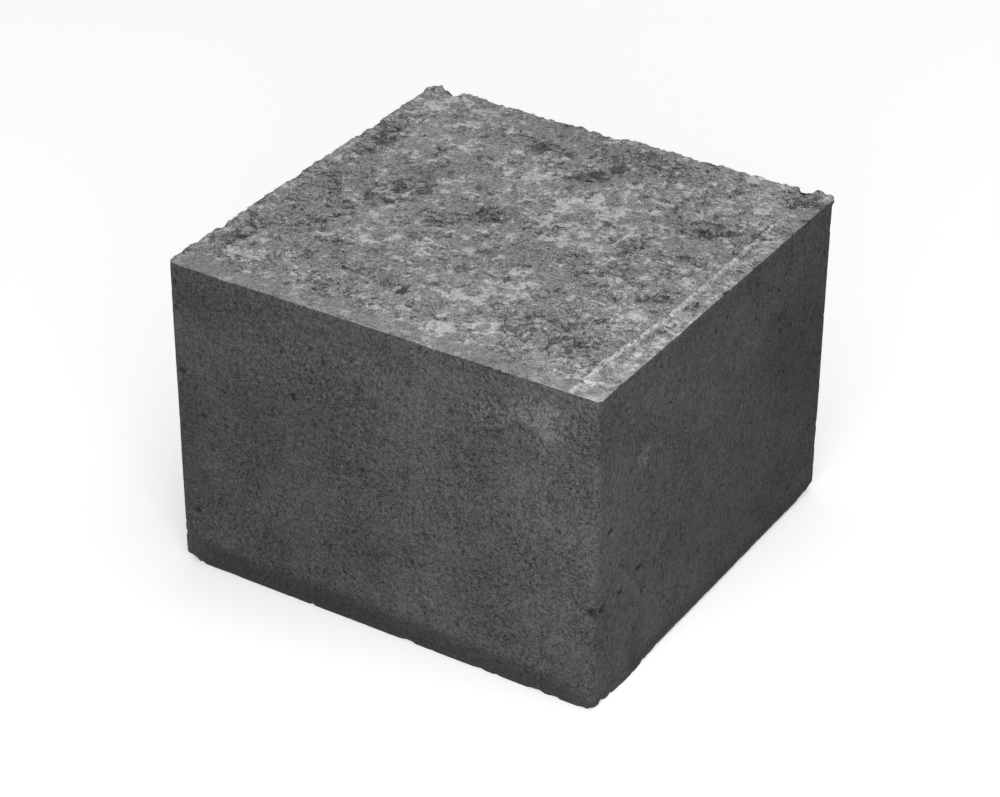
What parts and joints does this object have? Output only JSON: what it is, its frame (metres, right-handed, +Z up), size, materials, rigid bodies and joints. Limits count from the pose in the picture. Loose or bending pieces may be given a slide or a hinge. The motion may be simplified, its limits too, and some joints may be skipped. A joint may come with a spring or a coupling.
{
  "type": "half wall block",
  "caption": "Solid pressed-concrete half block for masonry walls, near-square in plan, with flat beds, plumb sides and a small sloped foot arris.",
  "frame": {"origin": "centre of the lower bed face, on the surface the block stands on", "axes": "+X along the block's length, +Y along its depth, +Z up from the lower bed to the upper bed"},
  "size_m": [0.208, 0.2, 0.15],
  "materials": {
    "concrete": "pressed grey concrete, open grain"
  },
  "bodies": {
    "root": {"half_wall_block": "concrete"}
  },
  "joints": []
}
